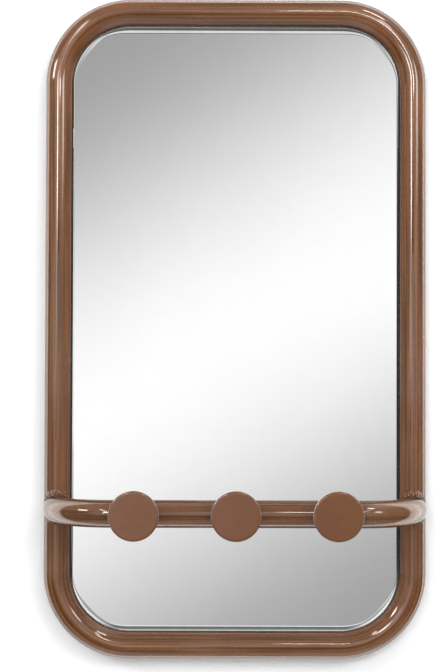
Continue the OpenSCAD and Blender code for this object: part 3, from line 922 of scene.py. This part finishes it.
def hook(name, node, x):
    """The profile spun round the line through x and RAIL_Z, parallel to Y. The foot's rows run on
    to the rail's skin: y = rail centre - sqrt(rail radius squared - height squared)."""
    round_count, foot_rows = 144, 5
    t = full_turn(round_count)
    profile = hook_profile()
    distance = np.repeat(profile[:, :1], round_count, 1)
    depth = np.repeat(profile[:, 1:], round_count, 1)
    seat = RAIL_Y - np.sqrt(TUBE_R ** 2 - (STEM_R * np.sin(t)) ** 2) + FOOT_SUNK
    share = np.linspace(0, 1, foot_rows + 1)[1:, None]
    depth = np.concatenate([depth, depth[-1:] + share * (seat - depth[-1:])])
    distance = np.concatenate([distance, np.full((foot_rows, round_count), STEM_R)])
    spun = np.stack([x + distance * np.cos(t), depth, RAIL_Z + distance * np.sin(t)], -1)
    poles = [[x, DISC_FACE, RAIL_Z], [x, RAIL_Y - FOOT_DEEP, RAIL_Z]]
    thing = build(name, np.concatenate([spun.reshape(-1, 3), poles]), capped_grid(len(spun), round_count))
    wear(thing, coat)
    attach(thing, "root")
    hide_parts(node)
    return thing


hooks = [hook("hook_" + where, "knob_" + where, x)
         for where, x in zip(("left", "middle", "right"), HOOKS_X)]

# %% [markdown]
# ## The mirror glass
# On the real object this is a flat rounded glass, silvered behind, with a ground and polished
# slope round its front edge. One profile, from the middle of the face out to the edge and back to
# the middle of the rear, is carried round the outline, and the face, the slope, the edge and the
# painted back are separate faces.

# %% Mirror materials
POLISHED = {"Metallic": 1.0, "Roughness": 0.0}
silver = finish("mirror_silver", (0.935, 0.940, 0.938), (0.955, 0.957, 0.955), None, 9, 60, 0, POLISHED)
slope = finish("mirror_slope", (0.86, 0.90, 0.885), (0.96, 0.985, 0.975), None, 60, 400, 0, POLISHED)
glass_edge = finish("glass_edge", (0.20, 0.33, 0.30), (0.33, 0.46, 0.43), (0.12, 0.3), 80, 900, 1e-5)
mirror_back = finish("mirror_back_paint", (0.16, 0.17, 0.19), (0.22, 0.23, 0.25), (0.5, 0.7), 12, 800,
                     2e-5)

# %% Mirror glass
GLASS_X, GLASS_Z, GLASS_CORNER = 170.5 * MM, 316.5 * MM, 60.5 * MM
GLASS_FRONT, GLASS_BACK = -17.5 * MM, -12.5 * MM
INNER_SHARE, FLAT_INSET = 0.6, 20 * MM  # rings that only divide the flat face and the flat back
BACK_ARRIS = 0.5 * MM
LINE_TILT = 16  # degrees, of the narrow line where the slope starts
# the rest of the slope: from and to, as shares of its width, and its tilt in degrees
SLOPE_TILTS = ((1.0, 0.56, 4.5), (0.56, 0.24, 7.6), (0.24, 0.0, 11.0))

outline, outward = rounded_outline(GLASS_X, GLASS_Z, GLASS_CORNER)
columns = len(outline)
facing_up = outward[:, 1]  # 1 on the top edge, 0 on the sides, -1 on the foot
level_share = np.clip((np.abs(facing_up) - 0.80) / 0.20, 0, 1)
widest = np.where(facing_up > 0, 5.4, 3.9)
lower = np.exp(-((facing_up + 0.70) / 0.33) ** 2)  # the two lower corners
upper = np.exp(-((facing_up - 0.66) / 0.30) ** 2)  # the two upper corners
in_corners = (3.8 * lower + 3.0 * upper) * (1 - level_share ** 2)
slope_width = (1.4 + widest * level_share ** 2 + in_corners) * MM
line = (0.3 + 0.35 * level_share + 0.5 * lower) * MM
rest = slope_width - line
drop = line * math.tan(math.radians(LINE_TILT))
inset_rings = [(FLAT_INSET, GLASS_FRONT), (slope_width, GLASS_FRONT), (rest, GLASS_FRONT + drop)]
for start, end, tilt in SLOPE_TILTS:
    drop = drop + rest * (start - end) * math.tan(math.radians(tilt))
    inset_rings.append((rest * end, GLASS_FRONT + drop))
inset_rings += [(0.0, GLASS_BACK - BACK_ARRIS), (BACK_ARRIS, GLASS_BACK), (FLAT_INSET, GLASS_BACK)]


def glass_ring(flat, y):
    """Points (x, y, z) from the glass's own flat points, at the depth y."""
    return np.stack([flat[:, 0], np.broadcast_to(y, columns), flat[:, 1] + MIDDLE_Z], 1)


rings = [glass_ring(outline * INNER_SHARE, GLASS_FRONT)]
for inset, y in inset_rings:
    rings.append(glass_ring(outline - outward * np.broadcast_to(inset, columns)[:, None], y))
points = np.concatenate(rings + [[[0, GLASS_FRONT, MIDDLE_Z], [0, GLASS_BACK, MIDDLE_Z]]])
glass = build("mirror_plate", points, capped_grid(len(rings), columns), smooth=False)
# bands 0 and 1 and the front fan are the face, 2 to 5 the slope, 6 the edge, the others the back
band_of = np.repeat([*range(len(rings) - 1), -1, len(rings)], columns)
kinds = np.select([band_of <= 1, band_of <= 5, band_of == 6], [0, 1, 2], 3)
wear(glass, silver, slope, glass_edge, mirror_back)
glass.data.polygons.foreach_set("material_index", kinds.astype(np.int32))
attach(glass, "root")
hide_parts("mirror_glass")

# %% [markdown]
# ## Finishes on the CAD's own pieces
# The remaining pieces have their true shape in the CAD, so they only get a finish.

# %% Assign finishes
CAD_FINISHES = (
    (coat, ("lug_upper_left", "lug_upper_right", "lug_lower_left", "lug_lower_right")),
    (black_board, ("backing_board",)), (foam_tape, ("mounting_tape",)),
    (screw_steel, ("knob_screws", "saddle_washers", "board_screws", "hanger_screws")),
    (zinc, ("hanger_left", "hanger_right")), (rubber, ("bumper_left", "bumper_right")))
for material, names in CAD_FINISHES:
    for name in names:
        wear(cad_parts[name], material)
    print(material.name, "on", ", ".join(names))

# %% [markdown]
# ## What the glass doesn't show
# The photographed glass shows no rail and no hooks, so those pieces are left out of reflections.

# %% Hide from reflections
for piece in [rail, *beads, *hooks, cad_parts["knob_screws"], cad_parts["saddle_washers"]]:
    piece.visible_glossy = False
